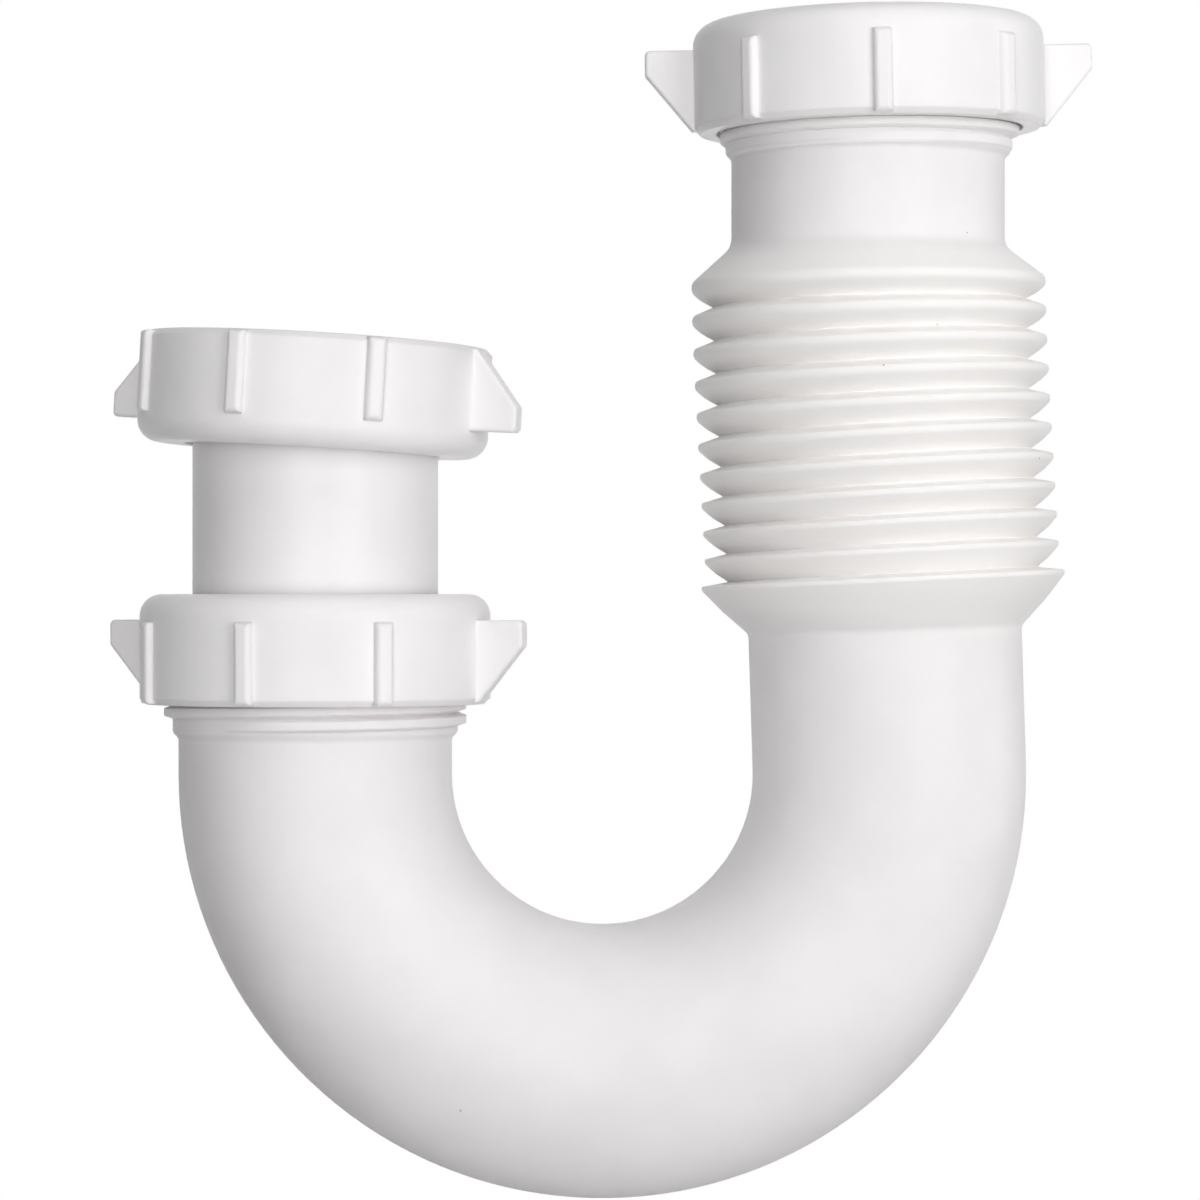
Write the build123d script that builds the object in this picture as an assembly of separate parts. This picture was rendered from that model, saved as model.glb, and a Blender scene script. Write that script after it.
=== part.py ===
from build123d import *
from math import cos, radians, sin
import os

# Flexible J-bend of a sink trap, in millimetres.
# The origin is on the axis of the inlet socket, where its straight bore begins.
# +Z is up along that bore, the outlet stands at -X, and the photo looks along +Y.

# Driving dimensions: sealing and walls
tube_diameter = 38.1
slip_clearance = 0.3
pipe_wall = 1.85
collar_wall = 2.75
thread_depth = 1.35
thread_clearance = 0.35
mouth_bevel = 1.75
mouth_bevel_height = 2.0
inlet_collar_length = 15.0
outlet_collar_length = 16.4
collar_chamfer = 0.9

# Driving dimensions: run of the pipe
neck_length = 26.65
flex_offset = 2.66
flex_lean = 1.8
leg_length = 20.0
bend_radius = 44.55
outlet_leg_length = 22.0

# Driving dimensions: bellows
fold_count = 11
fold_pitch = 4.59
fold_spread = 0.75
fold_open_top = 2.0
fold_open_bottom = 0.85
fold_height = 6.2
fold_groove = 3.4
crest_width = 0.8
fold_wall = 1.2
last_fold_extra = 0.7
top_cone_length = 5.8
bottom_cone_length = 8.65

# Driving dimensions: slip nuts
nut_wall = 3.4
nut_height = 17.0
nut_end_wall = 2.9
nut_shoulder = 3.4
nut_edge = 0.9
nut_hole_clearance = 0.75
nut_relief = 0.35
nut_relief_height = 7.2
rib_width = 2.8
rib_stand = 1.2
rib_start = 4.3
rib_round = 0.8
wing_stand = 7.5
wing_start = 4.0
wing_edge = 3.9
wing_round = 0.8
wing_ease = 0.5
inlet_wing_angle = 1.0
outlet_wing_angle = -19.6
union_wing_angle = -22.4
inlet_tilt = 1.1
union_tilt = 3.2
union_shift = 0.4

# Driving dimensions: washers and tube
washer_flange = 3.0
washer_clearance = 0.1
tube_wall = 1.7
tube_edge = 0.5
tube_depth = 20.5
tube_stand = 32.6
flange_width = 3.1
flange_height = 2.2
flange_seat_gap = 1.5
gasket_height = 2.0

# Derived radii
tube_radius = tube_diameter / 2
bore_radius = tube_radius + slip_clearance
pipe_radius = bore_radius + pipe_wall
collar_radius = bore_radius + collar_wall
thread_radius = collar_radius + thread_depth
nut_bore_radius = thread_radius + thread_clearance
nut_radius = nut_bore_radius + nut_wall
nut_hole_radius = tube_radius + nut_hole_clearance
crest_radius = pipe_radius + fold_height
groove_radius = crest_radius - fold_groove

# Derived run of the pipe, in the XZ plane
fold_run = (fold_count - 1) * fold_pitch
bellows_length = top_cone_length + fold_run + bottom_cone_length
neck_end = Vector(0, 0, -neck_length)
leg_top = Vector(flex_offset, 0, -neck_length - bellows_length)
leg_down = Vector(sin(radians(flex_lean)), 0, -cos(radians(flex_lean)))
leg_end = leg_top + leg_down * leg_length
bend_centre = leg_end + Vector(-cos(radians(flex_lean)), 0, -sin(radians(flex_lean))) * bend_radius
outlet_x = bend_centre.X - bend_radius
outlet_rim = bend_centre.Z + outlet_leg_length
inlet_rim = mouth_bevel_height


def turned(points, rounds=(), bevels=()):
    """Solid of revolution about Z from corners (radius, height), with the numbered corners eased."""
    outline = Polyline(*points, close=True)
    face = make_face(outline)
    for index, size in rounds:
        face = fillet(face.vertices().sort_by_distance(Vector(*points[index]))[0], size)
    for index, size in bevels:
        face = chamfer(face.vertices().sort_by_distance(Vector(*points[index]))[0], size)
    return revolve(Plane.XZ * face, Axis.Z)


def pipe_run(radius):
    """Straight leg, U-bend and outlet leg as one sweep of a circle."""
    leg = Line((leg_top.X, leg_top.Z), (leg_end.X, leg_end.Z))
    bend = CenterArc((bend_centre.X, bend_centre.Z), bend_radius, flex_lean, -180 - flex_lean)
    riser = Line((outlet_x, bend_centre.Z), (outlet_x, outlet_rim))
    path = Plane.XZ * (leg + bend + riser)
    start = Plane(leg_top, x_dir=(0, 1, 0), z_dir=leg_down)
    return sweep(start * Circle(radius), path)


def bellows_run(stations):
    """Ruled skin through circles (distance, radius) that stand square on the flexed axis."""
    reach = bellows_length / 3
    flex_line = Bezier(neck_end, neck_end - Vector(0, 0, reach), leg_top - leg_down * reach, leg_top)
    rings = []
    for distance, radius in stations:
        place = flex_line.location_at(distance / bellows_length, x_dir=(0, 1, 0))
        rings.append(place * Circle(radius))
    return loft(rings, ruled=True)


def fold_corners():
    """Sharp corners (distance, radius) of the bellows: cone, folds that close up downwards, long cone."""
    corners = [(0, pipe_radius)]
    for fold in range(fold_count):
        share = fold / (fold_count - 1)
        tip = top_cone_length + fold * fold_pitch + fold_spread * sin(radians(180 * share))
        opening = fold_open_top + (fold_open_bottom - fold_open_top) * share
        if fold:
            corners.append((tip - opening, groove_radius))
        crest = crest_radius + (last_fold_extra if share == 1 else 0)
        corners.append((tip, crest))
    corners.append((bellows_length, pipe_radius))
    return corners


def outer_stations():
    """Outside of the bellows, with the tip of each fold blunted."""
    stations = []
    for distance, radius in fold_corners():
        if radius < crest_radius:
            stations.append((distance, radius))
        else:
            stations.append((distance - crest_width / 2, radius - crest_width / 5))
            stations.append((distance + crest_width / 2, radius))
    return stations


def inner_stations():
    """Inside of the bellows: the corners of the outside moved inwards by one wall thickness."""
    corners = [Vector(*corner) for corner in fold_corners()]
    stations = [(0, bore_radius)]
    for before, corner, after in zip(corners, corners[1:], corners[2:]):
        coming = (corner - before).normalized()
        going = (after - corner).normalized()
        inward = Vector(coming.Y + going.Y, -coming.X - going.X)
        moved = corner + inward * (fold_wall / (1 + coming.dot(going)))
        stations.append((moved.X, moved.Y))
    stations.append((bellows_length, bore_radius))
    return stations


def threaded_collar(length):
    """Root cylinder of a moulded thread, from its rim at z = 0 down to a chamfered foot."""
    foot = -length + collar_chamfer
    points = [(bore_radius - 0.2, 0), (collar_radius, 0), (collar_radius, foot), (pipe_radius - 0.2, -length)]
    points.append((bore_radius - 0.2, -length))
    return turned(points)


def mouth_cut():
    """Bevelled mouth that the slip-joint washer wedges into, its rim at z = 0."""
    wide = bore_radius + mouth_bevel
    points = [(0, 0), (wide, 0), (bore_radius, -mouth_bevel_height), (0, -mouth_bevel_height)]
    return turned(points)


def slip_nut():
    """Winged slip nut; z = 0 is its inner shoulder, the closed end is up and the mouth is down."""
    mouth = nut_end_wall - nut_height
    relief = nut_bore_radius + nut_relief
    points = [
        (nut_hole_radius, nut_end_wall),
        (nut_radius, nut_end_wall),
        (nut_radius, mouth),
        (nut_bore_radius, mouth),
        (nut_bore_radius, -nut_relief_height),
        (relief, -nut_relief_height),
        (relief, 0),
        (nut_hole_radius, 0),
    ]
    nut = turned(points, rounds=[(1, nut_shoulder)], bevels=[(2, nut_edge)])
    rib_length = nut_height - rib_start - 0.25
    rib_middle = nut_end_wall - rib_start - rib_length / 2
    rib = Pos(nut_radius + rib_stand - 1.5, 0, rib_middle) * Box(3, rib_width, rib_length)
    outside = rib.faces().sort_by(Axis.X)[-1]
    rib = fillet(outside.edges(), rib_round)
    top = nut_end_wall - wing_start
    tip = nut_radius + wing_stand
    profile = Polyline(
        (nut_radius - 1.2, top),
        (tip, top),
        (tip, top - wing_edge),
        (nut_radius + 0.4, mouth + 0.4),
        (nut_radius - 1.2, mouth + 0.4),
        close=True,
    )
    face = make_face(profile)
    face = fillet(face.vertices().sort_by(Axis.X)[-2:], wing_round)
    wing = extrude(Plane.XZ * face, rib_width / 2, both=True)
    sides = wing.faces().filter_by(Axis.Y)
    outline = sides.edges().filter_by(lambda edge: edge.center().X > nut_radius)
    wing = fillet(outline, wing_ease)
    for index in range(8):
        nut += Rot(0, 0, 45 * index) * (rib if index % 4 else wing)
    return nut


def slip_washer():
    """Bevelled slip-joint washer; z = 0 is the rim it sits on, its wedge points down."""
    inside = tube_radius + washer_clearance
    outside = nut_bore_radius - 0.4
    wedge = bore_radius + mouth_bevel - 0.15
    points = [
        (inside, washer_flange),
        (outside, washer_flange),
        (outside, 0),
        (wedge, 0),
        (bore_radius + 0.25, -mouth_bevel_height + 0.35),
        (inside, -mouth_bevel_height + 0.35),
    ]
    return turned(points)


def flanged_tube():
    """Short tube; z = 0 is the underside of its flange."""
    foot = -tube_stand - tube_depth
    inside = tube_radius - tube_wall
    flange = tube_radius + flange_width
    points = [
        (inside, flange_height),
        (flange, flange_height),
        (flange, 0),
        (tube_radius, 0),
        (tube_radius, foot),
        (inside, foot),
    ]
    return turned(points, bevels=[(1, tube_edge), (4, tube_edge)])


def flat_gasket():
    """Flat union gasket; z = 0 is its underside."""
    inside = tube_radius - tube_wall + 0.4
    outside = tube_radius + flange_width
    return turned([(inside, 0), (outside, 0), (outside, gasket_height), (inside, gasket_height)])


# J-bend: one blow-moulded piece, built solid and then hollowed along the same axis
neck = turned([(0, 0), (pipe_radius, 0), (pipe_radius, -neck_length), (0, -neck_length)])
j_bend = neck + bellows_run(outer_stations()) + pipe_run(pipe_radius)
bore = turned([(0, inlet_rim), (bore_radius, inlet_rim), (bore_radius, -neck_length), (0, -neck_length)])
j_bend += Pos(0, 0, inlet_rim) * threaded_collar(inlet_collar_length)
j_bend += Pos(outlet_x, 0, outlet_rim) * threaded_collar(outlet_collar_length)
j_bend -= bore + bellows_run(inner_stations()) + pipe_run(bore_radius)
j_bend -= Pos(0, 0, inlet_rim) * mouth_cut()
j_bend -= Pos(outlet_x, 0, outlet_rim) * mouth_cut()

# Slip joints: each washer wedges into its collar's mouth and its nut's shoulder presses on it.
# The inlet nut has nothing in it yet, and sits loose, a little askew on its washer.
inlet_seat = Pos(0, 0, inlet_rim)
outlet_seat = Pos(outlet_x, 0, outlet_rim)
on_washer = Pos(0, 0, washer_flange)
inlet_washer = inlet_seat * slip_washer()
outlet_washer = outlet_seat * slip_washer()
inlet_lift = Pos(0, 0, (nut_bore_radius - 0.4) * sin(radians(inlet_tilt)))
inlet_lean = inlet_lift * Rot(0, -inlet_tilt, 0)
inlet_nut = inlet_seat * on_washer * inlet_lean * Rot(0, 0, inlet_wing_angle) * slip_nut()
outlet_nut = outlet_seat * on_washer * Rot(0, 0, outlet_wing_angle) * slip_nut()

# Union: the nut hangs mouth up on the tube, a little askew, with the flange and gasket inside it
flange_place = outlet_seat * Pos(0, 0, tube_stand)
outlet_tube = flange_place * flanged_tube()
union_washer = flange_place * Pos(0, 0, flange_height) * flat_gasket()
union_place = flange_place * Pos(-union_shift, 0, -flange_seat_gap) * Rot(0, union_tilt, 0)
union_nut = union_place * Rot(0, 0, union_wing_angle) * Rot(180, 0, 0) * slip_nut()

os.makedirs("parts", exist_ok=True)
nodes = {
    "j_bend": j_bend,
    "inlet_nut": inlet_nut,
    "inlet_washer": inlet_washer,
    "outlet_nut": outlet_nut,
    "outlet_washer": outlet_washer,
    "outlet_tube": outlet_tube,
    "union_nut": union_nut,
    "union_washer": union_washer,
}
for name, node in nodes.items():
    export_step(node, "parts/" + name + ".step")
    box = node.bounding_box()
    print(name, len(node.solids()), node.is_valid, round(node.volume, 1), box.min, box.max)
print("outlet", outlet_x, outlet_rim, bend_centre, leg_top, leg_end)
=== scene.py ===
import math

import bpy
from mathutils import Matrix, Vector


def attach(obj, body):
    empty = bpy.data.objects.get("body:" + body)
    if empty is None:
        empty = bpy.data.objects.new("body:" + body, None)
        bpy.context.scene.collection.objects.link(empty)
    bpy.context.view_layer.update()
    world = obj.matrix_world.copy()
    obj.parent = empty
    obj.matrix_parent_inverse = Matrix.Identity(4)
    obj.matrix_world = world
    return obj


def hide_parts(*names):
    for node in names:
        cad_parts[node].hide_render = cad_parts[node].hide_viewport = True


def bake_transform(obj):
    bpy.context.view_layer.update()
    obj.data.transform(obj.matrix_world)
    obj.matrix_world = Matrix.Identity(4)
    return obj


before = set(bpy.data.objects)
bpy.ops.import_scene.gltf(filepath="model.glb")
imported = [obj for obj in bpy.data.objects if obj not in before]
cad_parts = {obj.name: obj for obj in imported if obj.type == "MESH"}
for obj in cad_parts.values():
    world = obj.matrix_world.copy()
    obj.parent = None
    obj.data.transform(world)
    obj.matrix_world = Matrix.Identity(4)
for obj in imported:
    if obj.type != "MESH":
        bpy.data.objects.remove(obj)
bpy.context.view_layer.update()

# J-bend body: inlet neck, bellows, leg, return bend and outlet riser are one blow moulding in white
# polypropylene. Its wall is drawn straight as a profile, spun about its axis and laid along the J.
# All sizes are millimetres until MM turns them into metres.
MM = 0.001
BORE = 19.35
PIPE = 21.2
COLLAR = 22.1
COLLAR_RAMP = 0.9
INLET_COLLAR = 15.0
OUTLET_COLLAR = 16.4
MOUTH_WIDE = 21.1
MOUTH_DEEP = 2.0
NECK = 28.65
NECK_END = Vector((0, 0, -26.65))
BELLOWS = 60.35
LEG_TOP = Vector((2.66, 0, -87.0))
LEAN = math.radians(1.8)
LEG = 20.0
BEND_RADIUS = 44.55
RISER = 22.0

bpy.ops.object.select_all(action="DESELECT")
down = Vector((0, 0, -1))
leg_down = Vector((math.sin(LEAN), 0, -math.cos(LEAN)))
leg_end = LEG_TOP + leg_down * LEG
bend_centre = leg_end + Vector((-math.cos(LEAN), 0, -math.sin(LEAN))) * BEND_RADIUS
half_turn = math.pi + LEAN
low_angle = LEAN - half_turn / 2
bend_low = bend_centre + Vector((math.cos(low_angle), 0, math.sin(low_angle))) * BEND_RADIUS
bend_low_along = Vector((math.sin(low_angle), 0, -math.cos(low_angle)))
outlet_foot = bend_centre - Vector((BEND_RADIUS, 0, 0))
outlet_rim = outlet_foot + Vector((0, 0, RISER))
# Two spline spans make the bend, each with the handle length at which it follows a circle.
bend_handle = 4 / 3 * math.tan(half_turn / 8) * BEND_RADIUS
axis_knots = [
    (NECK_END - down * NECK, down, NECK / 3, NECK / 3),
    (NECK_END, down, NECK / 3, BELLOWS / 3),
    (LEG_TOP, leg_down, BELLOWS / 3, LEG / 3),
    (leg_end, leg_down, LEG / 3, bend_handle),
    (bend_low, bend_low_along, bend_handle, bend_handle),
    (outlet_foot, -down, bend_handle, RISER / 3),
    (outlet_rim, -down, RISER / 3, RISER / 3),
]
AXIS_STEPS = 64
AXIS_MEASURE_STEPS = 256
bpy.ops.curve.primitive_bezier_curve_add(location=(0, 0, 0))
j_axis = bpy.context.object
j_axis.data.dimensions = "3D"
j_axis.data.resolution_u = AXIS_STEPS
axis_line = j_axis.data.splines[0]
axis_line.bezier_points.add(len(axis_knots) - 2)
for knot, (place, along, reach_in, reach_out) in zip(axis_line.bezier_points, axis_knots):
    knot.handle_left_type = "FREE"
    knot.handle_right_type = "FREE"
    knot.co = place * MM
    knot.handle_left = (place - along * reach_in) * MM
    knot.handle_right = (place + along * reach_out) * MM
run = axis_line.calc_length(resolution=AXIS_MEASURE_STEPS) / MM
bellows_end = run - RISER - half_turn * BEND_RADIUS - LEG

# Every corner of the profile is (radius, distance along the J, rounding).
RIM_ROUND = 0.3
RAMP_ROUND = 0.4
MOUTH_ROUND = 0.12
BORE_ROUND = 0.2
TOP_CONE_ROUND = 1.4
BOTTOM_CONE_ROUND = 0.7
CONE_ROUND_INSIDE = 1.0
outside = [
    (MOUTH_WIDE, 0, MOUTH_ROUND),
    (COLLAR, 0, RIM_ROUND),
    (COLLAR, INLET_COLLAR - COLLAR_RAMP, RAMP_ROUND),
    (PIPE, INLET_COLLAR, RAMP_ROUND),
    (PIPE, NECK, TOP_CONE_ROUND),
]

# The bellows has eleven folds between two cones. The folds close up towards the leg, their tips are
# blunt noses that sharpen on the way down, and the lower flank of each fold swells a little.
FOLDS = 11
FOLD_PITCH = 4.59
FOLD_SPREAD = 0.75
FOLD_OPEN_TOP = 2.0
FOLD_OPEN_BOTTOM = 0.85
FOLD_CREST = 27.4
LAST_CREST = 28.1
FOLD_GROOVE = 24.0
FOLD_WALL = 1.2
FOLD_ROUND_INSIDE = 0.5
GROOVE_DEEPER = 0.05
GROOVE_ROUND = 0.25
NOSE_TOP = 0.65
NOSE_BOTTOM = 0.3
NOSE_OUT = 0.1
NOSE_ROUND = 0.8
BELLY = 0.22
BELLY_PLACE = 0.45
BELLY_ROUND = 0.8
TOP_CONE = 5.8
BOTTOM_CONE_LIFT = 1.0
cone_foot = bellows_end - BOTTOM_CONE_LIFT
zigzag = [Vector((PIPE, NECK))]
for fold in range(FOLDS):
    share = fold / (FOLDS - 1)
    tip = NECK + TOP_CONE + fold * FOLD_PITCH + FOLD_SPREAD * math.sin(math.pi * share)
    if fold:
        opening = FOLD_OPEN_TOP + (FOLD_OPEN_BOTTOM - FOLD_OPEN_TOP) * share
        zigzag.append(Vector((FOLD_GROOVE, tip - opening)))
    zigzag.append(Vector((LAST_CREST if share == 1 else FOLD_CREST, tip)))
zigzag.append(Vector((PIPE, cone_foot)))
inside_folds = []
for before, corner, after in zip(zigzag, zigzag[1:], zigzag[2:]):
    coming = (corner - before).normalized()
    going = (after - corner).normalized()
    inward = Vector((-coming.y - going.y, coming.x + going.x))
    moved = corner + inward * (FOLD_WALL / (1 + coming.dot(going)))
    inside_folds.append((moved.x, moved.y, FOLD_ROUND_INSIDE))
    if corner.x > FOLD_GROOVE:
        share = (corner.y - NECK - TOP_CONE) / (FOLD_PITCH * (FOLDS - 1))
        nose = NOSE_TOP + (NOSE_BOTTOM - NOSE_TOP) * share
        lower_edge = corner + Vector((NOSE_OUT, nose))
        belly = lower_edge.lerp(after, BELLY_PLACE) + Vector((going.y, -going.x)) * BELLY
        outside.append((corner.x, corner.y - nose, nose * NOSE_ROUND))
        outside.append((lower_edge.x, lower_edge.y, nose))
        if after.x > PIPE:
            outside.append((belly.x, belly.y, BELLY_ROUND))
    else:
        outside.append((corner.x - GROOVE_DEEPER, corner.y, GROOVE_ROUND))
outside.append((PIPE, cone_foot, BOTTOM_CONE_ROUND))

BEND_STEPS = 92
outlet_start = run - OUTLET_COLLAR
for step in range(1, BEND_STEPS):
    outside.append((PIPE, bellows_end + (outlet_start - bellows_end) * step / BEND_STEPS, 0))
outside += [
    (PIPE, outlet_start, RAMP_ROUND),
    (COLLAR, outlet_start + COLLAR_RAMP, RAMP_ROUND),
    (COLLAR, run, RIM_ROUND),
    (MOUTH_WIDE, run, MOUTH_ROUND),
]
inside = [(BORE, MOUTH_DEEP, BORE_ROUND), (BORE, NECK, CONE_ROUND_INSIDE)]
inside += inside_folds
inside.append((BORE, cone_foot, CONE_ROUND_INSIDE))
bore_end = run - MOUTH_DEEP
for step in range(1, BEND_STEPS):
    inside.append((BORE, bellows_end + (bore_end - bellows_end) * step / BEND_STEPS, 0))
inside.append((BORE, bore_end, BORE_ROUND))
wall = outside + inside[::-1]


def soften(corners, steps):
    """Rounds the corners (radius, distance, rounding) of a closed profile, in millimetres."""
    points = []
    for index, (radius, distance, rounding) in enumerate(corners):
        corner = Vector((radius, distance))
        if rounding == 0:
            points.append(corner)
            continue
        before = Vector(corners[index - 1][:2])
        after = Vector(corners[(index + 1) % len(corners)][:2])
        start = corner + (before - corner).normalized() * rounding
        end = corner + (after - corner).normalized() * rounding
        for step in range(steps + 1):
            share = step / steps
            points.append(start * (1 - share) ** 2 + corner * 2 * share * (1 - share) + end * share ** 2)
    return points


SAME_POINT = 0.004
SHARP_EDGE = math.radians(38)


def draw_profile(name, points):
    """Extrudes one vertex round a closed profile (radius, height) that stands on the XZ plane."""
    bpy.ops.object.select_all(action="DESELECT")
    bpy.ops.mesh.primitive_plane_add(size=1.0, location=(0, 0, 0))
    piece = bpy.context.object
    piece.name = name
    piece.data.name = name
    bpy.ops.object.mode_set(mode="EDIT")
    bpy.ops.mesh.merge(type="CENTER")
    bpy.ops.transform.translate(value=(points[0].x * MM, 0, points[0].y * MM))
    here = points[0]
    for point in points[1:] + points[:1]:
        step = point - here
        bpy.ops.mesh.extrude_region_move(TRANSFORM_OT_translate={"value": (step.x * MM, 0, step.y * MM)})
        here = point
    bpy.ops.mesh.select_all(action="SELECT")
    bpy.ops.mesh.remove_doubles(threshold=SAME_POINT * MM)
    return piece


def close_shell():
    """Merges the seam of the piece in edit mode, turns its faces outwards and leaves edit mode."""
    bpy.ops.mesh.select_all(action="SELECT")
    bpy.ops.mesh.remove_doubles(threshold=SAME_POINT * MM)
    bpy.ops.mesh.normals_make_consistent(inside=False)
    bpy.ops.object.mode_set(mode="OBJECT")
    bpy.ops.object.shade_smooth_by_angle(angle=SHARP_EDGE)


WALL_CORNER_STEPS = 5
ROUND_STEPS = 112
body = draw_profile("j_bend_body", soften(wall, WALL_CORNER_STEPS))
bpy.ops.mesh.spin(steps=ROUND_STEPS, angle=math.tau, center=(0, 0, 0), axis=(0, 0, 1))
close_shell()
lay = body.modifiers.new("along_the_j", "CURVE")
lay.object = j_axis
lay.deform_axis = "POS_Z"
bpy.ops.object.modifier_apply(modifier=lay.name)
bpy.data.objects.remove(j_axis)
bpy.ops.object.mode_set(mode="EDIT")
bpy.ops.mesh.select_all(action="SELECT")
bpy.ops.mesh.normals_make_consistent(inside=False)
bpy.ops.object.mode_set(mode="OBJECT")


def paint(code):
    """Turns an sRGB hex colour into linear red, green, blue and alpha."""
    shares = [int(code[place:place + 2], 16) / 255 for place in (1, 3, 5)]
    linear = [share / 12.92 if share <= 0.04045 else ((share + 0.055) / 1.055) ** 2.4 for share in shares]
    return (*linear, 1.0)


def add_node(material, kind, feeds=None, **settings):
    """Adds one node; feeds are the values or sockets that go into it, settings its own properties."""
    tree = material.node_tree
    made = tree.nodes.new(kind)
    for key, value in settings.items():
        setattr(made, key, value)
    for key, value in (feeds or {}).items():
        if isinstance(value, bpy.types.NodeSocket):
            tree.links.new(value, made.inputs[key])
        else:
            made.inputs[key].default_value = value
    return made


# Blow-moulded polypropylene: milky white with a soft satin gloss. The blown skin is faintly uneven
# and mottled, and carries a very few dark specks of moulding dust.
MOTTLE_WIDTH = 16 * MM
DUST_SPACING = 14 * MM
SHEEN_WIDTH = 5 * MM
WAVER_WIDTH = 7 * MM
WAVER_HEIGHT = 0.12 * MM
PEEL_WIDTH = 0.9 * MM
PEEL_HEIGHT = 0.02 * MM
blown = bpy.data.materials.new("blow_moulded_polypropylene")
blown.use_nodes = True
blown.node_tree.nodes.clear()
place = add_node(blown, "ShaderNodeTexCoord").outputs["Object"]
mottle = add_node(blown, "ShaderNodeTexNoise", {"Vector": place, "Scale": 1 / MOTTLE_WIDTH, "Detail": 3.0})
milk = add_node(blown, "ShaderNodeValToRGB", {"Fac": mottle.outputs["Fac"]})
milk.color_ramp.elements[0].position = 0.3
milk.color_ramp.elements[0].color = paint("#F0EDEE")
milk.color_ramp.elements[1].position = 0.7
milk.color_ramp.elements[1].color = paint("#F6F3F4")

# The folds are blown thinnest and light comes through them. That light is painted in: their colour is
# painted paler than the pipe's.
PAINTED_LIGHT_FROM = 21.6 * MM
PAINTED_LIGHT_FULL = 24.0 * MM
LEG_STARTS = -87.0 * MM
FOLDS_START = -85.0 * MM
along_axes = add_node(blown, "ShaderNodeSeparateXYZ", {"Vector": place})
level = add_node(blown, "ShaderNodeVectorMath", {0: place, 1: (1, 1, 0)}, operation="MULTIPLY")
reach = add_node(blown, "ShaderNodeVectorMath", {0: level.outputs["Vector"]}, operation="LENGTH")
past_pipe = add_node(
    blown,
    "ShaderNodeMapRange",
    {"Value": reach.outputs["Value"], "From Min": PAINTED_LIGHT_FROM, "From Max": PAINTED_LIGHT_FULL},
)
above_leg = add_node(
    blown,
    "ShaderNodeMapRange",
    {"Value": along_axes.outputs["Z"], "From Min": LEG_STARTS, "From Max": FOLDS_START},
)
# Where the painted light lies: past the pipe's radius and above the leg, that is over the folds.
painted_light_mask = add_node(
    blown,
    "ShaderNodeMath",
    {0: past_pipe.outputs["Result"], 1: above_leg.outputs["Result"]},
    operation="MULTIPLY",
)
# Painted light: over the folds the mottled milk colour is mixed towards a paler painted colour.
mottle_and_painted_light = add_node(
    blown,
    "ShaderNodeMix",
    {0: painted_light_mask.outputs[0], 6: milk.outputs["Color"], 7: paint("#F9F7F6")},
    data_type="RGBA",
)
dust = add_node(blown, "ShaderNodeTexVoronoi", {"Vector": place, "Scale": 1 / DUST_SPACING})
speck = add_node(blown, "ShaderNodeValToRGB", {"Fac": dust.outputs["Distance"]})
speck.color_ramp.elements[0].position = 0.009
speck.color_ramp.elements[0].color = paint("#FFFFFF")
speck.color_ramp.elements[1].position = 0.016
speck.color_ramp.elements[1].color = paint("#000000")
tint = add_node(
    blown,
    "ShaderNodeMix",
    {0: speck.outputs["Color"], 6: mottle_and_painted_light.outputs[2], 7: paint("#8C8881")},
    data_type="RGBA",
)
sheen = add_node(blown, "ShaderNodeTexNoise", {"Vector": place, "Scale": 1 / SHEEN_WIDTH, "Detail": 2.0})
satin = add_node(
    blown, "ShaderNodeMapRange", {"Value": sheen.outputs["Fac"], "To Min": 0.36, "To Max": 0.5}
)
waver = add_node(blown, "ShaderNodeTexNoise", {"Vector": place, "Scale": 1 / WAVER_WIDTH, "Detail": 1.0})
waver_bump = add_node(
    blown, "ShaderNodeBump", {"Height": waver.outputs["Fac"], "Distance": WAVER_HEIGHT, "Strength": 0.6}
)

# The two halves of the blow mould meet in the plane of the J and leave a hair-fine raised line there.
PARTING_FLAT = 0.1 * MM
PARTING_EDGE = 0.4 * MM
PARTING_HEIGHT = 0.08 * MM
from_parting = add_node(blown, "ShaderNodeMath", {0: along_axes.outputs["Y"]}, operation="ABSOLUTE")
parting = add_node(
    blown,
    "ShaderNodeMapRange",
    {
        "Value": from_parting.outputs[0],
        "From Min": PARTING_FLAT,
        "From Max": PARTING_EDGE,
        "To Min": 1.0,
        "To Max": 0.0,
    },
    interpolation_type="SMOOTHSTEP",
)
parting_bump = add_node(
    blown,
    "ShaderNodeBump",
    {
        "Height": parting.outputs["Result"],
        "Distance": PARTING_HEIGHT,
        "Normal": waver_bump.outputs["Normal"],
    },
)
peel = add_node(blown, "ShaderNodeTexNoise", {"Vector": place, "Scale": 1 / PEEL_WIDTH, "Detail": 2.0})
peel_bump = add_node(
    blown,
    "ShaderNodeBump",
    {
        "Height": peel.outputs["Fac"],
        "Distance": PEEL_HEIGHT,
        "Strength": 0.5,
        "Normal": parting_bump.outputs["Normal"],
    },
)
blown_skin = add_node(
    blown,
    "ShaderNodeBsdfPrincipled",
    {
        "Base Color": tint.outputs[2],
        "Roughness": satin.outputs["Result"],
        "IOR": 1.49,
        "Specular IOR Level": 0.25,
        "Subsurface Weight": 0.3,
        "Subsurface Radius": (1.0, 1.0, 0.85),
        "Subsurface Scale": 1.5 * MM,
        "Normal": peel_bump.outputs["Normal"],
    },
    subsurface_method="BURLEY",
)
add_node(blown, "ShaderNodeOutputMaterial", {"Surface": blown_skin.outputs["BSDF"]})
body.data.materials.append(blown)
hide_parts("j_bend")
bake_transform(body)

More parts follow.
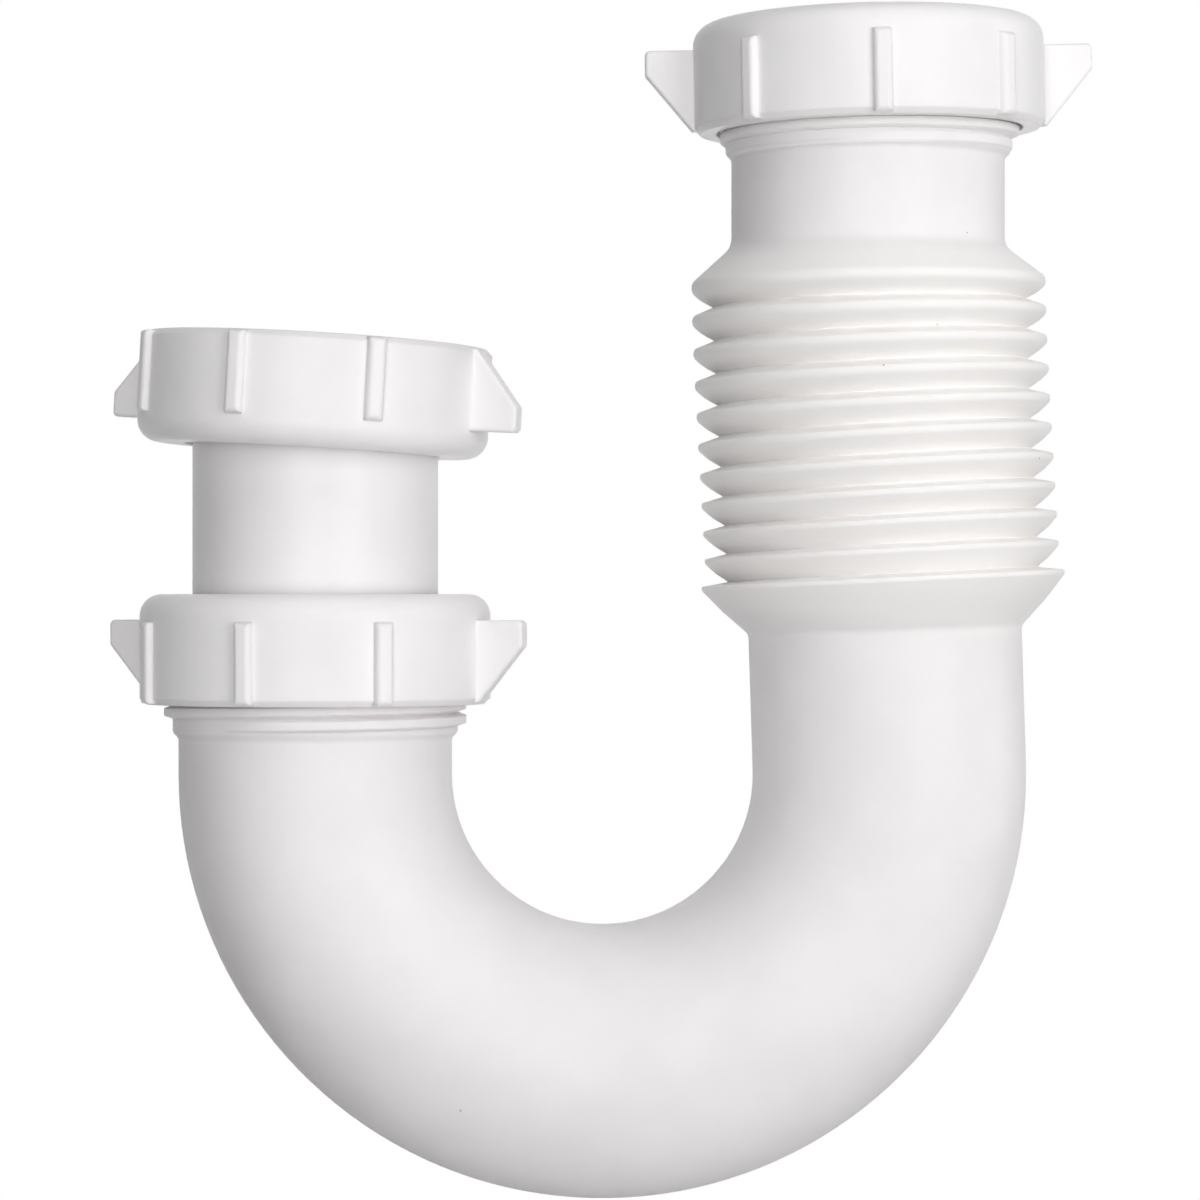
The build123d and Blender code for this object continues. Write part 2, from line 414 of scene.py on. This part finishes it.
# Male threads: each collar of the blow moulding carries a right-hand thread on its root cylinder, of
# the same plastic. They run out at the foot of the collar, where the photo shows the last turns.
THREAD_PITCH = 2.209
THREAD_STEPS = 72
THREAD_CREST = 23.45
THREAD_HALF_FOOT = 1.05
THREAD_HALF_CREST = 0.6
THREAD_SUNK = 0.25
THREAD_ROUND = 0.15
THREAD_CORNER_STEPS = 2
THREAD_LEAST = 0.02


def ridge_section(foot, crest, half_foot, half_crest):
    """Thread section from its foot radius to its crest radius, rounded at the crest."""
    sunk = THREAD_SUNK if crest > foot else -THREAD_SUNK
    corners = [
        (foot - sunk, -half_foot, 0),
        (foot, -half_foot, 0),
        (crest, -half_crest, THREAD_ROUND),
        (crest, half_crest, THREAD_ROUND),
        (foot, half_foot, 0),
        (foot - sunk, half_foot, 0),
    ]
    return soften(corners, THREAD_CORNER_STEPS)


def screw_ridge(name, ridge, turns, fade_low, fade_high):
    """Winds a ridge profile (radius, height) right-handed up the Z axis and fades it at both ends."""
    piece = draw_profile(name, ridge)
    bpy.ops.object.mode_set(mode="OBJECT")
    foot = ridge[0].x
    middle = sum(corner.y for corner in ridge) / len(ridge)
    wind = piece.modifiers.new("wind", "SCREW")
    wind.axis = "Z"
    wind.angle = math.tau * turns
    wind.screw_offset = THREAD_PITCH * MM * turns
    wind.steps = int(THREAD_STEPS * turns)
    wind.render_steps = wind.steps
    wind.use_smooth_shade = False
    bpy.ops.object.modifier_apply(modifier=wind.name)
    for vertex in piece.data.vertices:
        angle = math.atan2(vertex.co.y, vertex.co.x) / math.tau
        wound = round((vertex.co.z / MM - middle) / THREAD_PITCH - angle) + angle
        from_low = (wound + THREAD_LEAST) / fade_low
        from_high = (turns - wound + THREAD_LEAST) / fade_high
        share = max(THREAD_LEAST, min(1.0, from_low, from_high))
        radius = Vector((vertex.co.x, vertex.co.y)).length
        wanted = foot * MM + (radius - foot * MM) * share
        vertex.co.x *= wanted / radius
        vertex.co.y *= wanted / radius
    bpy.ops.object.mode_set(mode="EDIT")
    bpy.ops.mesh.select_all(action="SELECT")
    bpy.ops.mesh.fill_holes(sides=0)
    close_shell()
    return piece


def set_down(piece, turn, place, lean=0.0):
    """Turns a piece about Z, leans it about Y and moves it to a place in millimetres, all in its mesh."""
    lay_down = Matrix.Rotation(math.radians(lean), 4, "Y") @ Matrix.Rotation(math.radians(turn), 4, "Z")
    piece.data.transform(Matrix.Translation(Vector(place) * MM) @ lay_down)


OUTLET_THREAD_TURNS = 5.9
OUTLET_THREAD_RUN_IN = 0.16
OUTLET_THREAD_TURNED = -127
OUTLET_THREAD_LOW = -100.64
INLET_THREAD_TURNS = 5.6
INLET_THREAD_RUN_IN = 1.4
INLET_THREAD_TURNED = -170
INLET_THREAD_LOW = -11.95
COLLAR_THREAD_RUN_OUT = 0.1
collar_ridge = ridge_section(COLLAR, THREAD_CREST, THREAD_HALF_FOOT, THREAD_HALF_CREST)
outlet_thread = screw_ridge(
    "outlet_collar_thread", collar_ridge, OUTLET_THREAD_TURNS, OUTLET_THREAD_RUN_IN, COLLAR_THREAD_RUN_OUT
)
set_down(outlet_thread, OUTLET_THREAD_TURNED, (outlet_rim.x, 0, OUTLET_THREAD_LOW))
outlet_thread.data.materials.append(blown)
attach(outlet_thread, "trap")
inlet_thread = screw_ridge(
    "inlet_collar_thread", collar_ridge, INLET_THREAD_TURNS, INLET_THREAD_RUN_IN, COLLAR_THREAD_RUN_OUT
)
set_down(inlet_thread, INLET_THREAD_TURNED, (0, 0, INLET_THREAD_LOW))
inlet_thread.data.materials.append(blown)
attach(inlet_thread, "inlet_seal")

# Slip nuts: three winged nuts with two wings and six finger ribs each, injection moulded in a whiter
# polypropylene. Two screw down onto the collars, and the union nut stands upside down on the tube.
NUT_MOTTLE_WIDTH = 12 * MM
NUT_RUB_WIDTH = 3 * MM
NUT_EDGE_ROUND = 0.55 * MM
NUT_PEEL_WIDTH = 1.4 * MM
# Injection-moulded polypropylene: smoother and a little glossier than the blown skin, rubbed in places,
# with softly rounded edges and a faint orange peel.
moulded = bpy.data.materials.new("injection_moulded_polypropylene")
moulded.use_nodes = True
moulded.node_tree.nodes.clear()
place = add_node(moulded, "ShaderNodeTexCoord").outputs["Object"]
mottle = add_node(
    moulded, "ShaderNodeTexNoise", {"Vector": place, "Scale": 1 / NUT_MOTTLE_WIDTH, "Detail": 3.0}
)
milk = add_node(moulded, "ShaderNodeValToRGB", {"Fac": mottle.outputs["Fac"]})
milk.color_ramp.elements[0].position = 0.3
milk.color_ramp.elements[0].color = paint("#F2F0F1")
milk.color_ramp.elements[1].position = 0.7
milk.color_ramp.elements[1].color = paint("#F7F5F6")
rubbed = add_node(
    moulded, "ShaderNodeTexNoise", {"Vector": place, "Scale": 1 / NUT_RUB_WIDTH, "Detail": 3.0}
)
gloss = add_node(
    moulded, "ShaderNodeMapRange", {"Value": rubbed.outputs["Fac"], "To Min": 0.26, "To Max": 0.4}
)
softened = add_node(moulded, "ShaderNodeBevel", {"Radius": NUT_EDGE_ROUND}, samples=6)
peel = add_node(
    moulded, "ShaderNodeTexNoise", {"Vector": place, "Scale": 1 / NUT_PEEL_WIDTH, "Detail": 2.0}
)
peel_bump = add_node(
    moulded,
    "ShaderNodeBump",
    {
        "Height": peel.outputs["Fac"],
        "Distance": PEEL_HEIGHT,
        "Strength": 0.5,
        "Normal": softened.outputs["Normal"],
    },
)
nut_skin = add_node(
    moulded,
    "ShaderNodeBsdfPrincipled",
    {
        "Base Color": milk.outputs["Color"],
        "Roughness": gloss.outputs["Result"],
        "IOR": 1.49,
        "Specular IOR Level": 0.25,
        "Subsurface Weight": 0.1,
        "Subsurface Radius": (1.0, 0.9, 0.8),
        "Subsurface Scale": 1.0 * MM,
        "Normal": peel_bump.outputs["Normal"],
    },
)
add_node(moulded, "ShaderNodeOutputMaterial", {"Surface": nut_skin.outputs["BSDF"]})
for name in ("inlet_nut", "outlet_nut", "union_nut"):
    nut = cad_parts[name]
    nut.data.materials.clear()
    nut.data.materials.append(moulded)

# Female threads: the outlet nut's runs in the grooves of its collar's thread, and the union nut's stands
# in its open mouth. The inlet nut turns in place on the neck, so its thread is left out.
NUT_BORE = 23.8
NUT_THREAD_CREST = 22.8
NUT_THREAD_HALF_FOOT = 0.62
NUT_THREAD_HALF_CREST = 0.2
NUT_THREAD_RUN_OUT = 0.15
OUTLET_NUT_TURNS = 2.2
OUTLET_NUT_TURNED = 53
OUTLET_NUT_THREAD_LOW = -96.22
UNION_NUT_TURNS = 2.3
UNION_NUT_TURNED = 20
UNION_NUT_FOOT = Vector((-86.19, 0, -55.29))
UNION_NUT_THREAD_UP = 8.0
UNION_LEAN = 3.2
nut_ridge = ridge_section(NUT_BORE, NUT_THREAD_CREST, NUT_THREAD_HALF_FOOT, NUT_THREAD_HALF_CREST)
outlet_nut_thread = screw_ridge(
    "outlet_nut_thread", nut_ridge, OUTLET_NUT_TURNS, NUT_THREAD_RUN_OUT, NUT_THREAD_RUN_OUT
)
set_down(outlet_nut_thread, OUTLET_NUT_TURNED, (outlet_rim.x, 0, OUTLET_NUT_THREAD_LOW))
union_nut_thread = screw_ridge(
    "union_nut_thread", nut_ridge, UNION_NUT_TURNS, NUT_THREAD_RUN_OUT, NUT_THREAD_RUN_OUT
)
union_up = Vector((math.sin(math.radians(UNION_LEAN)), 0, math.cos(math.radians(UNION_LEAN))))
union_thread_foot = UNION_NUT_FOOT + union_up * UNION_NUT_THREAD_UP
set_down(union_nut_thread, UNION_NUT_TURNED, union_thread_foot, lean=UNION_LEAN)
for thread, nut_body in ((outlet_nut_thread, "outlet_nut"), (union_nut_thread, "union_nut")):
    thread.data.materials.append(moulded)
    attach(thread, nut_body)

# Tube: the short flanged tube stands in the outlet socket and carries the union nut on its flange. It is
# moulded in the same smooth white polypropylene as the nuts.
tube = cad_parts["outlet_tube"]
tube.data.materials.clear()
tube.data.materials.append(moulded)

# Washers: two bevelled slip washers under the nuts and the flat gasket on the tube's flange, pressed in
# natural polyethylene, which is waxy, softer than the pipe and slightly see-through.
WAX_WIDTH = 4 * MM
WASHER_SKIN_WIDTH = 0.8 * MM
natural = bpy.data.materials.new("natural_polyethylene")
natural.use_nodes = True
natural.node_tree.nodes.clear()
place = add_node(natural, "ShaderNodeTexCoord").outputs["Object"]
cloud = add_node(natural, "ShaderNodeTexNoise", {"Vector": place, "Scale": 1 / WAX_WIDTH, "Detail": 3.0})
wax = add_node(natural, "ShaderNodeValToRGB", {"Fac": cloud.outputs["Fac"]})
wax.color_ramp.elements[0].color = paint("#E4E3DD")
wax.color_ramp.elements[1].color = paint("#EEEDE8")
skin = add_node(
    natural, "ShaderNodeTexNoise", {"Vector": place, "Scale": 1 / WASHER_SKIN_WIDTH, "Detail": 2.0}
)
skin_bump = add_node(
    natural, "ShaderNodeBump", {"Height": skin.outputs["Fac"], "Distance": PEEL_HEIGHT, "Strength": 0.5}
)
washer_skin = add_node(
    natural,
    "ShaderNodeBsdfPrincipled",
    {
        "Base Color": wax.outputs["Color"],
        "Roughness": 0.5,
        "IOR": 1.51,
        "Subsurface Weight": 0.3,
        "Subsurface Radius": (1.0, 0.95, 0.85),
        "Subsurface Scale": 1.5 * MM,
        "Normal": skin_bump.outputs["Normal"],
    },
)
add_node(natural, "ShaderNodeOutputMaterial", {"Surface": washer_skin.outputs["BSDF"]})
for name in ("inlet_washer", "outlet_washer", "union_washer"):
    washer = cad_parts[name]
    washer.data.materials.clear()
    washer.data.materials.append(natural)

# Studio: the trap hangs well above a plain pale floor, in a white surround. Five softboxes light it, two
# from the front, one from the right, one from above and one from behind, and the camera stands square
# on to the J. Sizes here are metres.
FLOOR_RADIUS = 0.78
FLOOR_PLACE = (-0.04, 0, -0.36)
FLOOR_PALER = 0.32
bpy.ops.object.select_all(action="DESELECT")
bpy.ops.mesh.primitive_circle_add(vertices=96, radius=FLOOR_RADIUS, fill_type="NGON", location=(0, 0, 0))
floor = bpy.context.object
floor.name = "studio_floor"
floor.data.transform(Matrix.Translation(FLOOR_PLACE))

# Matt floor sheet: the camera sees it paler than the lamps alone would make it, and looks through it
# from below.
sheet = bpy.data.materials.new("pale_studio_sheet")
sheet.use_nodes = True
sheet.node_tree.nodes.clear()
sheet_rays = add_node(sheet, "ShaderNodeLightPath")
paler = add_node(
    sheet, "ShaderNodeMath", {0: sheet_rays.outputs["Is Camera Ray"], 1: FLOOR_PALER}, operation="MULTIPLY"
)
matt = add_node(
    sheet,
    "ShaderNodeBsdfPrincipled",
    {
        "Base Color": paint("#EAEAE9"),
        "Roughness": 0.9,
        "Emission Color": paint("#FFFFFF"),
        "Emission Strength": paler.outputs[0],
    },
)
underside = add_node(sheet, "ShaderNodeNewGeometry").outputs["Backfacing"]
seen_from_below = add_node(
    sheet, "ShaderNodeMath", {0: sheet_rays.outputs["Is Camera Ray"], 1: underside}, operation="MULTIPLY"
)
clear = add_node(sheet, "ShaderNodeBsdfTransparent")
one_sided = add_node(
    sheet,
    "ShaderNodeMixShader",
    {0: seen_from_below.outputs[0], 1: matt.outputs["BSDF"], 2: clear.outputs["BSDF"]},
)
add_node(sheet, "ShaderNodeOutputMaterial", {"Surface": one_sided.outputs[0]})
floor.data.materials.append(sheet)

# White surround: white to the camera, in reflections and through clear pieces, and a weak fill elsewhere.
FILL_STRENGTH = 0.02
surround = bpy.data.worlds.new("white_surround")
surround.use_nodes = True
surround.node_tree.nodes.clear()
rays = add_node(surround, "ShaderNodeLightPath")
seen = add_node(
    surround,
    "ShaderNodeMath",
    {0: rays.outputs["Is Camera Ray"], 1: rays.outputs["Is Glossy Ray"]},
    operation="MAXIMUM",
)
seen_or_through = add_node(
    surround,
    "ShaderNodeMath",
    {0: seen.outputs[0], 1: rays.outputs["Is Transmission Ray"]},
    operation="MAXIMUM",
)
fill = add_node(surround, "ShaderNodeBackground", {"Color": paint("#FFFFFF"), "Strength": FILL_STRENGTH})
white = add_node(surround, "ShaderNodeBackground", {"Color": paint("#FFFFFF"), "Strength": 1.0})
either = add_node(
    surround,
    "ShaderNodeMixShader",
    {0: seen_or_through.outputs[0], 1: fill.outputs[0], 2: white.outputs[0]},
)
add_node(surround, "ShaderNodeOutputWorld", {"Surface": either.outputs[0]})
bpy.context.scene.world = surround

# Each softbox is its name, its place, its width and height, and its power in watts.
LAMP_AIM = Vector((-0.04, 0, -0.08))
lamps = [
    ("front_softbox", (-0.21, -1.39, -0.18), (0.7, 2.4), 14.4),
    ("right_softbox", (0.80, -1.12, -0.01), (0.6, 1.4), 9.2),
    ("rim_softbox", (1.22, 0.22, 0.15), (0.7, 0.9), 3.2),
    ("top_softbox", (-0.04, -0.51, 1.01), (0.9, 0.9), 4.0),
    ("back_softbox", (0.02, 1.28, -0.15), (0.3, 0.6), 10),
]
for name, spot, (wide, tall), power in lamps:
    bpy.ops.object.light_add(type="AREA", location=spot)
    lamp = bpy.context.object
    lamp.name = name
    lamp.data.shape = "RECTANGLE"
    lamp.data.size = wide
    lamp.data.size_y = tall
    lamp.data.energy = power
    lamp.rotation_euler = (LAMP_AIM - Vector(spot)).to_track_quat("-Z", "Y").to_euler()
# The softbox behind stays out of reflections, where it would burn out undersides seen at a glancing angle.
bpy.data.objects["back_softbox"].visible_glossy = False

# The camera's angle comes from half the photo's width and its focal length, both in pixels.
CAMERA_PLACE = (-0.0416, -0.699, -0.0814)
HALF_WIDTH = 600
FOCAL_LENGTH = 4500
bpy.ops.object.camera_add(location=CAMERA_PLACE, rotation=(math.radians(90), 0, 0))
camera = bpy.context.object
camera.name = "photo_camera"
camera.data.angle = 2 * math.atan(HALF_WIDTH / FOCAL_LENGTH)
bpy.context.scene.camera = camera
bpy.context.scene.view_settings.view_transform = "Standard"
